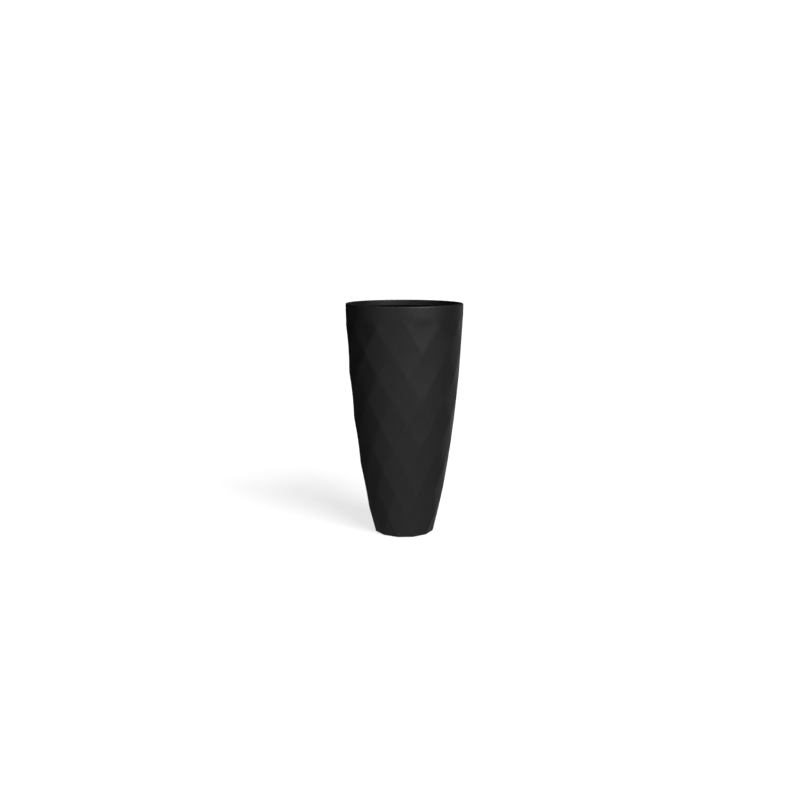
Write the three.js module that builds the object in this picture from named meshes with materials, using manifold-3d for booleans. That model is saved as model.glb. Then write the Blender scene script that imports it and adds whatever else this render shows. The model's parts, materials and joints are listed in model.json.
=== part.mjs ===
// Tall faceted floor planter: a thin fiberglass shell with a drop-in, sub-irrigated plant liner.
// Millimetres, +Z up. The origin is the middle of the footprint, on the floor.
// Angles run from the front (-Y) towards the right (+X).
import * as THREE from "three";
import { mergeVertices } from "three/addons/utils/BufferGeometryUtils.js";
import Module from "manifold-3d";

// ---------------------------------------------------------------- dimensions
const HEIGHT = 1000; // floor to the top of the lip
const PAD_H = 3; // rubber pads hold the shell this far off the floor
const SIDES = 12; // diamonds round the girth
const BANDS = 9; // bands of half-diamonds from the foot to the round collar
const COLLAR_Z = 909; // where the last row of diamond corners lies
const BAND = (COLLAR_Z - PAD_H) / BANDS;
// corner radius of each ring of diamond corners, foot to collar
const RING_R = [129.5, 154.1, 174.4, 191.3, 205.9, 218.3, 229.0, 237.9, 244.6, 250.0];
const RING_R_TOP = 253; // the ring that the last diamonds would reach, above the lip
const ROUND_Z = 965; // above this the shell is plain and round
const WALL = 6;
const FLOOR_T = 10;
const SUB = 3; // mesh steps along each diamond edge
const COLS = SIDES * SUB;

const LIP_R = 251; // outside radius of the lip
const LIP_RO = 5; // outer edge round
const LIP_RI = 4; // inner edge round
const LIP_IN = 236; // inside radius of the lip bead
const LIP_LOW = 977; // where the bead's inner face ends, above the undercut

const DRAIN_HOLE_R = 16;
const DRAIN_RECESS_R = 30;
const DRAIN_RECESS_Z = 7;
const DRAIN_BORE_R = 12.2;

const FOOT_PADS = 6;
const FOOT_PAD_R = 15;
const FOOT_PAD_AT = 100;

const SEAT_Z = 915; // the ledge that carries the liner
const SEAT_IN = 214;
const GAP = 0.4; // between touching pieces

const FLANGE_TOP = 920;
const FLANGE_T = 4.7;
const FLANGE_R = 232;
const LINER_WALL = 3;
const LINER_TOP_R = 211.5; // outside radius under the flange
const STEP_Z = 588; // the shoulder that carries the deck
const STEP_R = 192;
const TANK_TOP_R = 182.5;
const TANK_R = 178;
const LINER_BOTTOM = 520;
const LINER_DRAIN_R = 10;

const HANDLE_R = 219;
const HANDLE_HALF = 40; // degrees each side of the handle's middle
const HANDLE_W = 9;
const HANDLE_T = 7;
const GRIP_HALF = 17;
const GRIP_W = 14;
const GRIP_T = 9;
const PIVOT_Z = 924.9;
const PIN_R = 2.4;
const PIN_HOLE_R = 2.8;

const DECK_R = 187.5;
const DECK_T = 3;
const BASKET_AT = 105;
const BASKET_R = 30;
const TUBE_Y = 146;
const FILL_X = -34;
const FILL_R = 18;
const FILL_TOP = 929;
const GAUGE_X = 34;
const GAUGE_R = 11;
const GAUGE_TOP = 922;
const FLOAT_TRAVEL = 28;

// ---------------------------------------------------------------- helpers
const wasm = await Module();
wasm.setup();
const { Manifold, Mesh: ManifoldMesh } = wasm;
const rad = THREE.MathUtils.degToRad;
const polar = (r, deg) => [r * Math.sin(rad(deg)), -r * Math.cos(rad(deg))];

// A closed three.js geometry as a solid, facing out.
function solid(geometry) {
  let g = geometry.index ? geometry.toNonIndexed() : geometry.clone();
  const only = new THREE.BufferGeometry().setAttribute("position", g.getAttribute("position"));
  const merged = mergeVertices(only, 1e-3);
  const idx = merged.index.array;
  const tris = [];
  for (let i = 0; i < idx.length; i += 3) {
    const [a, b, c] = [idx[i], idx[i + 1], idx[i + 2]];
    if (a !== b && b !== c && c !== a) tris.push(a, b, c);
  }
  const make = (list) =>
    new Manifold(
      new ManifoldMesh({
        numProp: 3,
        vertProperties: new Float32Array(merged.attributes.position.array),
        triVerts: new Uint32Array(list),
      }),
    );
  let m = make(tris);
  if (m.volume() < 0) {
    for (let i = 0; i < tris.length; i += 3) [tris[i + 1], tris[i + 2]] = [tris[i + 2], tris[i + 1]];
    m = make(tris);
  }
  return m;
}

function geometryOf(m) {
  const mesh = m.getMesh();
  const n = mesh.numProp;
  const v = new Float32Array(mesh.numVert * 3);
  for (let i = 0; i < mesh.numVert; i++) v.set(mesh.vertProperties.subarray(i * n, i * n + 3), i * 3);
  const g = new THREE.BufferGeometry();
  g.setAttribute("position", new THREE.BufferAttribute(v, 3));
  g.setIndex(new THREE.BufferAttribute(new Uint32Array(mesh.triVerts), 1));
  g.computeVertexNormals();
  return g;
}

// Turns a profile of [radius, z] pairs about the Z axis. A profile off the axis closes on itself.
function turned(profile, segments) {
  const pts = profile.map(([r, z]) => new THREE.Vector2(r, z));
  const onAxis = profile[0][0] === 0 && profile[profile.length - 1][0] === 0;
  if (!onAxis) pts.push(pts[0].clone());
  const g = new THREE.LatheGeometry(pts, segments);
  g.rotateX(Math.PI / 2);
  return solid(g);
}

function cylinderAlong(axis, r, length, segments, centre) {
  const g = new THREE.CylinderGeometry(r, r, length, segments);
  if (axis === "z") g.rotateX(Math.PI / 2);
  if (axis === "x") g.rotateZ(Math.PI / 2);
  g.translate(...centre);
  return solid(g);
}

function block(x0, x1, y0, y1, z0, z1) {
  const g = new THREE.BoxGeometry(x1 - x0, y1 - y0, z1 - z0);
  g.translate((x0 + x1) / 2, (y0 + y1) / 2, (z0 + z1) / 2);
  return solid(g);
}

// A closed skin over a chain of loops, each a list of the same number of points. shift is 0 or 1:
// whether the loop's points lie half a step round. The last loop joins the first.
function skin(loops) {
  const n = loops[0].points.length;
  const pos = [];
  const tri = (a, b, c) => pos.push(...a, ...b, ...c);
  for (let i = 0; i < loops.length; i++) {
    const A = loops[i];
    const B = loops[(i + 1) % loops.length];
    for (let k = 0; k < n; k++) {
      const k1 = (k + 1) % n;
      if (A.shift === B.shift) {
        tri(A.points[k], A.points[k1], B.points[k1]);
        tri(A.points[k], B.points[k1], B.points[k]);
      } else if (A.shift === 0) {
        // B's point k lies between A's k and k+1
        tri(A.points[k], A.points[k1], B.points[k]);
        tri(A.points[k1], B.points[k1], B.points[k]);
      } else {
        // A's point k lies between B's k and k+1
        tri(A.points[k], B.points[k1], B.points[k]);
        tri(A.points[k], A.points[k1], B.points[k1]);
      }
    }
  }
  const g = new THREE.BufferGeometry();
  g.setAttribute("position", new THREE.BufferAttribute(new Float32Array(pos), 3));
  return solid(g);
}

// ---------------------------------------------------------------- the faceted surface
// Corners sit at (m, i): m half-steps of 15 degrees round, ring i up, with m + i odd.
function ringRadius(i) {
  if (i < 0) return 2 * RING_R[0] * Math.cos(Math.PI / SIDES) - RING_R[1]; // keeps the foot's sides straight
  if (i > BANDS) return RING_R_TOP;
  return RING_R[i];
}
function corner(m, i) {
  const [x, y] = polar(ringRadius(i), (180 / SIDES) * m);
  return new THREE.Vector3(x, y, PAD_H + BAND * i);
}
const smooth = (t) => {
  const c = Math.min(1, Math.max(0, t));
  return c * c * (3 - 2 * c);
};
const roundRadius = (z) => RING_R[BANDS] + (LIP_R - RING_R[BANDS]) * smooth((z - COLLAR_Z) / 84);

// The shell's surface at a half-steps round and height z, moved in by inset.
function wallPoint(a, z, inset) {
  const b = (z - PAD_H) / BAND;
  const u = a + b;
  const v = b - a;
  const u0 = Math.floor((u + 1) / 2 + 1e-9) * 2 - 1;
  const v0 = Math.floor((v + 1) / 2 + 1e-9) * 2 - 1;
  const fu = (u - u0) / 2;
  const fv = (v - v0) / 2;
  const p = new THREE.Vector3();
  for (const [du, dv, w] of [
    [0, 0, (1 - fu) * (1 - fv)],
    [2, 0, fu * (1 - fv)],
    [0, 2, (1 - fu) * fv],
    [2, 2, fu * fv],
  ]) {
    if (w < 1e-12) continue;
    p.addScaledVector(corner((u0 + du - v0 - dv) / 2, (u0 + du + v0 + dv) / 2), w);
  }
  const r = Math.hypot(p.x, p.y);
  let to = r;
  if (z > COLLAR_Z) to += (roundRadius(z) - r) * smooth((z - COLLAR_Z) / (ROUND_Z - COLLAR_Z));
  const k = (to - inset) / r;
  return [p.x * k, p.y * k, z];
}
// A loop of the wall: shift 0 starts on a whole lattice step, 1 on a half.
function wallLoop(z, shift, inset) {
  const points = [];
  for (let k = 0; k < COLS; k++) points.push(wallPoint((2 * k + shift) / SUB, z, inset));
  return { shift, points };
}
function roundLoop(r, z, shift) {
  const points = [];
  for (let k = 0; k < COLS; k++) {
    const [x, y] = polar(r, ((2 * k + shift) / SUB) * (180 / SIDES));
    points.push([x, y, z]);
  }
  return { shift, points };
}
// Lattice row k has corners where j + k is odd (SUB is odd), so its shift is 1 on even rows.
const rowShift = (k) => (k % 2 === 0 ? 1 : 0);

function shellSolid() {
  const loops = [];
  const rows = BANDS * SUB;
  for (let k = 0; k <= rows; k++) loops.push(wallLoop(PAD_H + (BAND * k) / SUB, rowShift(k), 0));
  let s = rowShift(rows);
  const upper = [925, 941, 957, 975];
  for (const z of upper) loops.push(wallLoop(z, (s = 1 - s), 0));
  const lipZ = HEIGHT - LIP_RO;
  for (const t of [0, 45, 90])
    loops.push(roundLoop(LIP_R - LIP_RO * (1 - Math.cos(rad(t))), lipZ + LIP_RO * Math.sin(rad(t)), s));
  for (const t of [90, 45, 0])
    loops.push(roundLoop(LIP_IN + LIP_RI * (1 - Math.cos(rad(t))), HEIGHT - LIP_RI + LIP_RI * Math.sin(rad(t)), s));
  loops.push(roundLoop(LIP_IN, LIP_LOW, s));
  loops.push(wallLoop(LIP_LOW - 11, s, WALL));
  for (const z of [953, 939, 924]) loops.push(wallLoop(z, (s = 1 - s), WALL));
  for (let k = rows; k >= 1; k--)
    if (k > rows - SUB || k % SUB === 0) loops.push(wallLoop(PAD_H + (BAND * k) / SUB, rowShift(k), WALL));
  loops.push(wallLoop(PAD_H + FLOOR_T, 1, WALL));
  loops.push(roundLoop(60, PAD_H + FLOOR_T, 1));
  loops.push(roundLoop(DRAIN_HOLE_R, PAD_H + FLOOR_T, 1));
  loops.push(roundLoop(DRAIN_HOLE_R, DRAIN_RECESS_Z, 1));
  loops.push(roundLoop(DRAIN_RECESS_R, DRAIN_RECESS_Z, 1));
  loops.push(roundLoop(DRAIN_RECESS_R, PAD_H, 1));
  return skin(loops);
}

// An angle-section ring that follows the inside of the wall and carries the liner on its ledge.
function seatRingSolid() {
  const bond = 1; // the layer of resin filler between ring and wall
  const low = 877;
  return skin([
    wallLoop(SEAT_Z, 0, WALL + bond),
    wallLoop(COLLAR_Z, 0, WALL + bond),
    wallLoop(low, 0, WALL + bond),
    wallLoop(low, 0, WALL + bond + 4),
    wallLoop(SEAT_Z - 6, 0, WALL + bond + 4),
    roundLoop(SEAT_IN, SEAT_Z - 5, 0),
    roundLoop(SEAT_IN, SEAT_Z, 0),
  ]);
}

// A rubber stopper: tapered stem, flange above it and a thumb tab with a hole.
function plugSolid(stemR, low, flangeZ, flangeR, tabH) {
  const m = turned(
    [
      [0, low],
      [stemR - 1.2, low],
      [stemR, low + 2],
      [stemR, flangeZ],
      [flangeR - 0.8, flangeZ],
      [flangeR, flangeZ + 0.8],
      [flangeR - 1, flangeZ + 3],
      [0, flangeZ + 3],
    ],
    20,
  );
  const w = flangeR * 0.5;
  const tab = block(-w, w, -1.8, 1.8, flangeZ + 2, flangeZ + 3 + tabH);
  return m.add(tab).subtract(cylinderAlong("y", w * 0.42, 8, 10, [0, 0, flangeZ + 3 + tabH * 0.56]));
}

// Eight-sided nut under the floor, in the recess.
function drainNutSolid() {
  const nut = cylinderAlong("z", 24, 2.4, 8, [0, 0, DRAIN_RECESS_Z - 0.3 - 1.2]);
  return nut.subtract(cylinderAlong("z", 15.9, 6, 24, [0, 0, DRAIN_RECESS_Z - 1.5]));
}

// ---------------------------------------------------------------- materials
const shellMat = new THREE.MeshStandardMaterial({ color: 0x2a2a2b, roughness: 0.55, metalness: 0 });
const ringMat = new THREE.MeshStandardMaterial({ color: 0x303032, roughness: 0.8, metalness: 0 });
const linerMat = new THREE.MeshStandardMaterial({ color: 0x2f3032, roughness: 0.6, metalness: 0 });
const handleMat = new THREE.MeshStandardMaterial({ color: 0x3c3d40, roughness: 0.5, metalness: 0 });
const deckMat = new THREE.MeshStandardMaterial({ color: 0x4a4c50, roughness: 0.65, metalness: 0 });
const rubberMat = new THREE.MeshStandardMaterial({ color: 0x151515, roughness: 0.9, metalness: 0 });
const steelMat = new THREE.MeshStandardMaterial({ color: 0xb8babd, roughness: 0.3, metalness: 1 });
const clearMat = new THREE.MeshStandardMaterial({ color: 0xe6eef0, roughness: 0.1, metalness: 0, transparent: true, opacity: 0.35 });
const foamMat = new THREE.MeshStandardMaterial({ color: 0xe9e7e0, roughness: 0.9, metalness: 0 });
const redMat = new THREE.MeshStandardMaterial({ color: 0xb3261e, roughness: 0.45, metalness: 0 });

const planter = new THREE.Group();
planter.name = "planter";
function add(name, m, material, parent = planter) {
  const mesh = new THREE.Mesh(geometryOf(m), material);
  mesh.name = name;
  parent.add(mesh);
  return mesh;
}

// ---------------------------------------------------------------- shell and what is fixed to it
add("outer_shell", shellSolid(), shellMat);
add("liner_seat_ring", seatRingSolid(), ringMat);

const floorTop = PAD_H + FLOOR_T;
add("drain_gasket", turned([[16.4, floorTop + 0.3], [25, floorTop + 0.3], [25, floorTop + 2.3], [16.4, floorTop + 2.3]], 24), rubberMat);
add(
  "drain_bushing",
  turned(
    [
      [DRAIN_BORE_R, DRAIN_RECESS_Z - 3],
      [15.4, DRAIN_RECESS_Z - 3],
      [15.4, floorTop + 2.7],
      [26, floorTop + 2.7],
      [26, floorTop + 4.7],
      [24.6, floorTop + 6],
      [DRAIN_BORE_R + 1, floorTop + 6],
      [DRAIN_BORE_R, floorTop + 5],
    ],
    24,
  ),
  linerMat,
);
add("drain_locknut", drainNutSolid(), linerMat);
add(
  "drain_plug",
  plugSolid(11.8, DRAIN_RECESS_Z - 1, floorTop + 6 + GAP, 19, 13),
  rubberMat,
);
for (let i = 0; i < FOOT_PADS; i++) {
  const [x, y] = polar(FOOT_PAD_AT, (360 / FOOT_PADS) * i);
  add(
    `foot_pad_${i + 1}`,
    turned([[0, 0], [FOOT_PAD_R - 0.6, 0], [FOOT_PAD_R, 0.6], [FOOT_PAD_R, PAD_H - 0.3], [0, PAD_H - 0.3]], 20).translate([x, y, 0]),
    rubberMat,
  );
}

// ---------------------------------------------------------------- liner
const handleX = HANDLE_R * Math.cos(rad(HANDLE_HALF));
const handleY = HANDLE_R * Math.sin(rad(HANDLE_HALF));
const LUG_IN = handleY + 6.2;
const LUG_OUT = LUG_IN + 6;

function linerSolid() {
  const under = FLANGE_TOP - FLANGE_T;
  let pot = turned(
    [
      [LINER_DRAIN_R, LINER_BOTTOM],
      [TANK_R - 4, LINER_BOTTOM],
      [TANK_R, LINER_BOTTOM + 4],
      [TANK_TOP_R, STEP_Z - 6],
      [STEP_R, STEP_Z - 2],
      [LINER_TOP_R, under],
      [FLANGE_R, under],
      [FLANGE_R, FLANGE_TOP],
      [LINER_TOP_R - LINER_WALL + 2, FLANGE_TOP],
      [LINER_TOP_R - LINER_WALL, FLANGE_TOP - 2],
      [STEP_R - LINER_WALL + 0.4, STEP_Z],
      [TANK_TOP_R - LINER_WALL, STEP_Z],
      [TANK_R - LINER_WALL, LINER_BOTTOM + 5],
      [TANK_R - LINER_WALL - 2, LINER_BOTTOM + LINER_WALL],
      [LINER_DRAIN_R, LINER_BOTTOM + LINER_WALL],
    ],
    40,
  );
  for (const sx of [-1, 1])
    for (const sy of [-1, 1]) {
      const xs = [sx * (handleX - 6.5), sx * (handleX + 6.5)].sort((a, b) => a - b);
      const ys = [sy * LUG_IN, sy * LUG_OUT].sort((a, b) => a - b);
      const lug = block(xs[0], xs[1], ys[0], ys[1], FLANGE_TOP - 2, PIVOT_Z + 6);
      const hole = cylinderAlong("y", PIN_HOLE_R, 20, 10, [sx * handleX, sy * (LUG_IN + 3), PIVOT_Z]);
      pot = pot.add(lug).subtract(hole);
    }
  return pot;
}
add("liner", linerSolid(), linerMat);

// A flat bar that follows the flange round, thicker at the grip, with a pivot boss at each end.
function handleSolid(side) {
  const bar = (half, w, t) => {
    const shape = new THREE.Shape();
    const a0 = rad(-half);
    const a1 = rad(half);
    shape.absarc(0, 0, HANDLE_R + w / 2, a0, a1, false);
    shape.absarc(0, 0, HANDLE_R - w / 2, a1, a0, true);
    shape.closePath();
    const g = new THREE.ExtrudeGeometry(shape, { depth: t, bevelEnabled: false, curveSegments: half > 20 ? 14 : 8 });
    g.translate(0, 0, PIVOT_Z - t / 2);
    return solid(g);
  };
  let m = bar(HANDLE_HALF, HANDLE_W, HANDLE_T).add(bar(GRIP_HALF, GRIP_W, GRIP_T));
  for (const sy of [-1, 1]) {
    m = m.add(cylinderAlong("y", 4.4, 10, 16, [handleX, sy * (handleY + 0.5), PIVOT_Z]));
    m = m.subtract(cylinderAlong("y", PIN_HOLE_R, 11, 10, [handleX, sy * (handleY + 1.5), PIVOT_Z]));
  }
  return side > 0 ? m : m.rotate([0, 0, 180]);
}
add("lift_handle_right", handleSolid(1), handleMat);
add("lift_handle_left", handleSolid(-1), handleMat);
let pinNo = 1;
for (const sx of [1, -1])
  for (const sy of [-1, 1]) {
    const from = handleY - 3;
    const to = LUG_OUT + 0.6;
    add(
      `handle_pin_${pinNo++}`,
      cylinderAlong("y", PIN_R, to - from, 12, [sx * handleX, (sy * (from + to)) / 2, PIVOT_Z]),
      steelMat,
    );
  }

add("liner_drain_plug", plugSolid(9.5, LINER_BOTTOM - 1, LINER_BOTTOM + LINER_WALL + GAP, 15, 11), rubberMat);

// ---------------------------------------------------------------- deck and what stands on it
const deckBottom = STEP_Z + GAP;
const deckTop = deckBottom + DECK_T;
const basketAngles = [45, 135, 225, 315];
function deckSolid() {
  const shape = new THREE.Shape();
  shape.absarc(0, 0, DECK_R, 0, Math.PI * 2, false);
  const hole = (x, y, r) => {
    const p = new THREE.Path();
    p.absarc(x, y, r, 0, Math.PI * 2, true);
    return p;
  };
  for (const a of basketAngles) shape.holes.push(hole(...polar(BASKET_AT, a), BASKET_R + 0.8));
  shape.holes.push(hole(FILL_X, TUBE_Y, FILL_R + 0.8));
  shape.holes.push(hole(GAUGE_X, TUBE_Y, GAUGE_R + 0.8));
  let m = solid(new THREE.ExtrudeGeometry(shape, { depth: DECK_T, bevelEnabled: false, curveSegments: 12 }).translate(0, 0, deckBottom));
  // drip holes between the baskets and round the edge
  const drips = [];
  for (const a of [0, 90, 270]) for (const r of [75, 110, 145]) drips.push([r, a]);
  for (const a of [0, 60, 120, 180, 240, 300]) drips.push([36, a]);
  for (const a of [22, 45, 68, 112, 135, 225, 248, 292, 315, 338]) drips.push([166, a]);
  for (const [r, a] of drips) {
    const [x, y] = polar(r, a);
    m = m.subtract(cylinderAlong("z", 4, 10, 6, [x, y, deckBottom + 1.5]));
  }
  // raised edge rim stiffens the plate
  const rim = turned([[DECK_R - 2.5, deckTop - 1], [DECK_R, deckTop - 1], [DECK_R, deckTop + 4], [DECK_R - 2.5, deckTop + 4]], 40);
  return m.add(rim);
}
add("reservoir_deck", deckSolid(), deckMat);

function basketSolid(angle) {
  const bottom = LINER_BOTTOM + LINER_WALL + GAP;
  let m = turned(
    [
      [0, bottom],
      [22, bottom],
      [BASKET_R - 0.2, deckTop + GAP],
      [BASKET_R + 4, deckTop + GAP],
      [BASKET_R + 4, deckTop + GAP + 2],
      [BASKET_R - 2.2, deckTop + GAP + 2],
      [20, bottom + 2.2],
      [0, bottom + 2.2],
    ],
    18,
  );
  for (const a of [0, 60, 120]) {
    const cut = block(-40, 40, -2.5, 2.5, bottom + 12, deckBottom - 10).rotate([0, 0, a]);
    m = m.subtract(cut);
  }
  const [x, y] = polar(BASKET_AT, angle);
  return m.translate([x, y, 0]);
}
basketAngles.forEach((a, i) => add(`wick_basket_${i + 1}`, basketSolid(a), deckMat));

// A stand pipe with a collar that sits on the deck and water ways cut in its foot.
// With a guide, its top is closed but for a hole of that radius.
function pipeSolid(r, wall, top, guide = 0) {
  const bottom = LINER_BOTTOM + LINER_WALL + GAP;
  const profile = [
    [r - wall, bottom],
    [r, bottom],
    [r, deckTop + GAP],
    [r + 4, deckTop + GAP],
    [r + 4, deckTop + GAP + 3],
    [r, deckTop + GAP + 3],
    [r, top],
  ];
  if (guide > 0) profile.push([guide, top], [guide, top - 3], [r - wall, top - 3]);
  else profile.push([r - wall, top]);
  let m = turned(profile, 20);
  return m.subtract(block(-r - 1, r + 1, -3, 3, bottom - 1, bottom + 10)).subtract(block(-3, 3, -r - 1, r + 1, bottom - 1, bottom + 10));
}
const HINGE_Y = TUBE_Y + FILL_R + 5;
const HINGE_Z = FILL_TOP + 2.5;
let fillTube = pipeSolid(FILL_R, 2, FILL_TOP).translate([FILL_X, TUBE_Y, 0]);
for (const s of [-1, 1]) {
  const ear = block(FILL_X + s * 8.5 - 2, FILL_X + s * 8.5 + 2, TUBE_Y + FILL_R - 3, HINGE_Y + 3, FILL_TOP - 12, HINGE_Z + 3);
  const clear = cylinderAlong("z", FILL_R - 2, 30, 20, [FILL_X, TUBE_Y, FILL_TOP - 6]);
  fillTube = fillTube.add(ear.subtract(clear)).subtract(cylinderAlong("x", 1.9, 8, 8, [FILL_X + s * 8.5, HINGE_Y, HINGE_Z]));
}
// the top of the pipe stays clear of the cap's underside between the ears
fillTube = fillTube.subtract(block(FILL_X - 13, FILL_X + 13, TUBE_Y, HINGE_Y - 2.6, FILL_TOP, FILL_TOP + 10));
add("fill_tube", fillTube, deckMat);

function capSolid() {
  const low = FILL_TOP + GAP;
  let m = turned(
    [
      [0, low - 4],
      [FILL_R - 3, low - 4],
      [FILL_R - 3, low],
      [FILL_R + 1.5, low],
      [FILL_R + 1.5, low + 2.4],
      [FILL_R, low + 3.4],
      [0, low + 3.4],
    ],
    20,
  ).translate([FILL_X, TUBE_Y, 0]);
  // thumb tab at the front
  m = m.add(block(FILL_X - 6, FILL_X + 6, TUBE_Y - FILL_R - 6, TUBE_Y - FILL_R + 3, low + 0.4, low + 2.4));
  // knuckle between the ears
  const arm = block(FILL_X - 5.9, FILL_X + 5.9, TUBE_Y + FILL_R - 4, HINGE_Y, low + 0.2, low + 3.2);
  const knuckle = cylinderAlong("x", 2.9, 11.8, 12, [FILL_X, HINGE_Y, HINGE_Z]);
  return m.add(arm).add(knuckle).subtract(cylinderAlong("x", 1.9, 14, 8, [FILL_X, HINGE_Y, HINGE_Z]));
}
add("fill_cap", capSolid(), handleMat);
add("fill_cap_pin", cylinderAlong("x", 1.5, 22, 10, [FILL_X, HINGE_Y, HINGE_Z]), steelMat);

add("gauge_tube", pipeSolid(GAUGE_R, 1.6, GAUGE_TOP, 2.3).translate([GAUGE_X, TUBE_Y, 0]), deckMat);
add(
  "gauge_window",
  turned(
    [
      [0, 966],
      [8, 966],
      [11, 963],
      [11, GAUGE_TOP + 3],
      [13.4, GAUGE_TOP + 1],
      [13.4, GAUGE_TOP - 10],
      [11.5, GAUGE_TOP - 10],
      [11.5, GAUGE_TOP + GAP],
      [9.2, GAUGE_TOP + GAP],
      [9.2, 962],
      [7.4, 964],
      [0, 964],
    ],
    20,
  ).translate([GAUGE_X, TUBE_Y, 0]),
  clearMat,
);
const floatLow = LINER_BOTTOM + LINER_WALL + GAP + 2.5;
add(
  "gauge_float",
  turned([[0, floatLow], [6.5, floatLow], [8, floatLow + 1.5], [8, floatLow + 34.5], [6.5, floatLow + 36], [0, floatLow + 36]], 16).translate([GAUGE_X, TUBE_Y, 0]),
  foamMat,
);
add(
  "gauge_rod",
  turned(
    [
      [0, floatLow + 36 + GAP],
      [1.6, floatLow + 36 + GAP],
      [1.6, GAUGE_TOP + 0.4],
      [5, GAUGE_TOP + 0.4],
      [5, GAUGE_TOP + 10],
      [3.5, GAUGE_TOP + 12],
      [0, GAUGE_TOP + 12],
    ],
    12,
  ).translate([GAUGE_X, TUBE_Y, 0]),
  redMat,
);

export default planter;
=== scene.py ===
import json
import math

import bmesh
import bpy
import numpy as np
from mathutils import Matrix, Vector

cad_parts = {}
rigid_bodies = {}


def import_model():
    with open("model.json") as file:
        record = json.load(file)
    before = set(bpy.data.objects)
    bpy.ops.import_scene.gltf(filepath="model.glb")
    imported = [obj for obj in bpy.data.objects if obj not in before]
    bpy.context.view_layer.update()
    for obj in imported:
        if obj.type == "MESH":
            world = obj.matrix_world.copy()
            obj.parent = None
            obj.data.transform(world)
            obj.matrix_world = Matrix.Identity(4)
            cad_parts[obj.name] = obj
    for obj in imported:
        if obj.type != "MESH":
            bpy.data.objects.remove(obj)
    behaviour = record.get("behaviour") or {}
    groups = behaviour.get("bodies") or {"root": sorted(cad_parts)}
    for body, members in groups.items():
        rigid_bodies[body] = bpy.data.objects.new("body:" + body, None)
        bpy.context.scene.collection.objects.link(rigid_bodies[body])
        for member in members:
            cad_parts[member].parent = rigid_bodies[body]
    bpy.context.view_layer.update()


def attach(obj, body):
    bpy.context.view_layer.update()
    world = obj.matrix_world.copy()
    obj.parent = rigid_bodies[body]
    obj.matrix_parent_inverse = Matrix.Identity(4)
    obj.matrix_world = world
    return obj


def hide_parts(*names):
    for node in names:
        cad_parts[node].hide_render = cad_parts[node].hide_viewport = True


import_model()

# ---------------------------------------------------------------- camera
# Fitted to the outline of the planter and the height of its mouth: distance, height, turn and tilt.
DELTA = math.radians(3.03)
CAM_D, CAM_H, FOCAL_PX = 3.951, 1.2396, 923.9
YAW, PITCH, ROLL = math.radians(-0.268), math.radians(9.471), math.radians(0.058)


def place_camera():
    cam = bpy.data.cameras.new("camera")
    cam.sensor_width = 36.0
    cam.lens = FOCAL_PX * 36.0 / 800.0
    cam.clip_start, cam.clip_end = 0.05, 100
    ob = bpy.data.objects.new("camera", cam)
    bpy.context.scene.collection.objects.link(ob)
    bpy.context.scene.camera = ob
    fwd = Vector((math.sin(YAW) * math.cos(PITCH), math.cos(YAW) * math.cos(PITCH), -math.sin(PITCH)))
    rt = Vector((math.cos(YAW), -math.sin(YAW), 0))
    up = rt.cross(fwd)
    c, s = math.cos(ROLL), math.sin(ROLL)
    rt, up = c * rt + s * up, c * up - s * rt
    rot = Matrix((rt, up, -fwd)).transposed()
    turn = Matrix.Rotation(-DELTA, 3, "Z")
    m = (turn @ rot).to_4x4()
    m.translation = turn @ Vector((0, -CAM_D, CAM_H))
    ob.matrix_world = m


place_camera()

# ---------------------------------------------------------------- mesh helpers
def new_object(name, verts, faces, smooth=True):
    me = bpy.data.meshes.new(name)
    me.from_pydata([tuple(v) for v in verts], [], [tuple(f) for f in faces])
    me.validate()
    bm = bmesh.new()
    bm.from_mesh(me)
    bmesh.ops.recalc_face_normals(bm, faces=bm.faces)
    bm.to_mesh(me)
    bm.free()
    for p in me.polygons:
        p.use_smooth = smooth
    ob = bpy.data.objects.new(name, me)
    bpy.context.scene.collection.objects.link(ob)
    return ob


def rounded(profile, closed=True, steps=4):
    """profile: (r, z, radius) in millimetres. Each corner is rounded by its radius."""
    pts = [Vector((p[0], p[1])) for p in profile]
    rad = [p[2] if len(p) > 2 else 0 for p in profile]
    n, out = len(pts), []
    for i in range(n):
        p = pts[i]
        if rad[i] <= 0 or (not closed and i in (0, n - 1)):
            out.append(p)
            continue
        a, b = pts[i - 1] - p, pts[(i + 1) % n] - p
        la, lb = a.length, b.length
        a, b = a / la, b / lb
        half = math.acos(max(-1, min(1, a.dot(b)))) / 2
        if half > math.radians(88):
            out.append(p)
            continue
        d = min(rad[i] / math.tan(half), la * 0.48, lb * 0.48)
        s, e = p + a * d, p + b * d
        for k in range(steps + 1):
            t = k / steps
            out.append((1 - t) ** 2 * s + 2 * t * (1 - t) * p + t * t * e)
    return out


def lathe(name, profile, segs=96, centre=(0, 0), closed=True, steps=4):
    pts = rounded(profile, closed, steps)
    verts, faces, rings = [], [], []
    for p in pts:
        if p.x < 1e-6:
            rings.append([len(verts)])
            verts.append((centre[0] / 1000, centre[1] / 1000, p.y / 1000))
        else:
            ring = []
            for k in range(segs):
                t = 2 * math.pi * k / segs
                ring.append(len(verts))
                verts.append(((centre[0] + p.x * math.sin(t)) / 1000, (centre[1] - p.x * math.cos(t)) / 1000, p.y / 1000))
            rings.append(ring)
    pairs = list(zip(rings, rings[1:] + rings[:1])) if closed else list(zip(rings, rings[1:]))
    for A, B in pairs:
        for k in range(segs):
            k1 = (k + 1) % segs
            if len(A) == 1 and len(B) == 1:
                break
            if len(A) == 1:
                faces.append((A[0], B[k1], B[k]))
            elif len(B) == 1:
                faces.append((A[k], A[k1], B[0]))
            else:
                faces.append((A[k], A[k1], B[k1], B[k]))
    return new_object(name, verts, faces)


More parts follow.
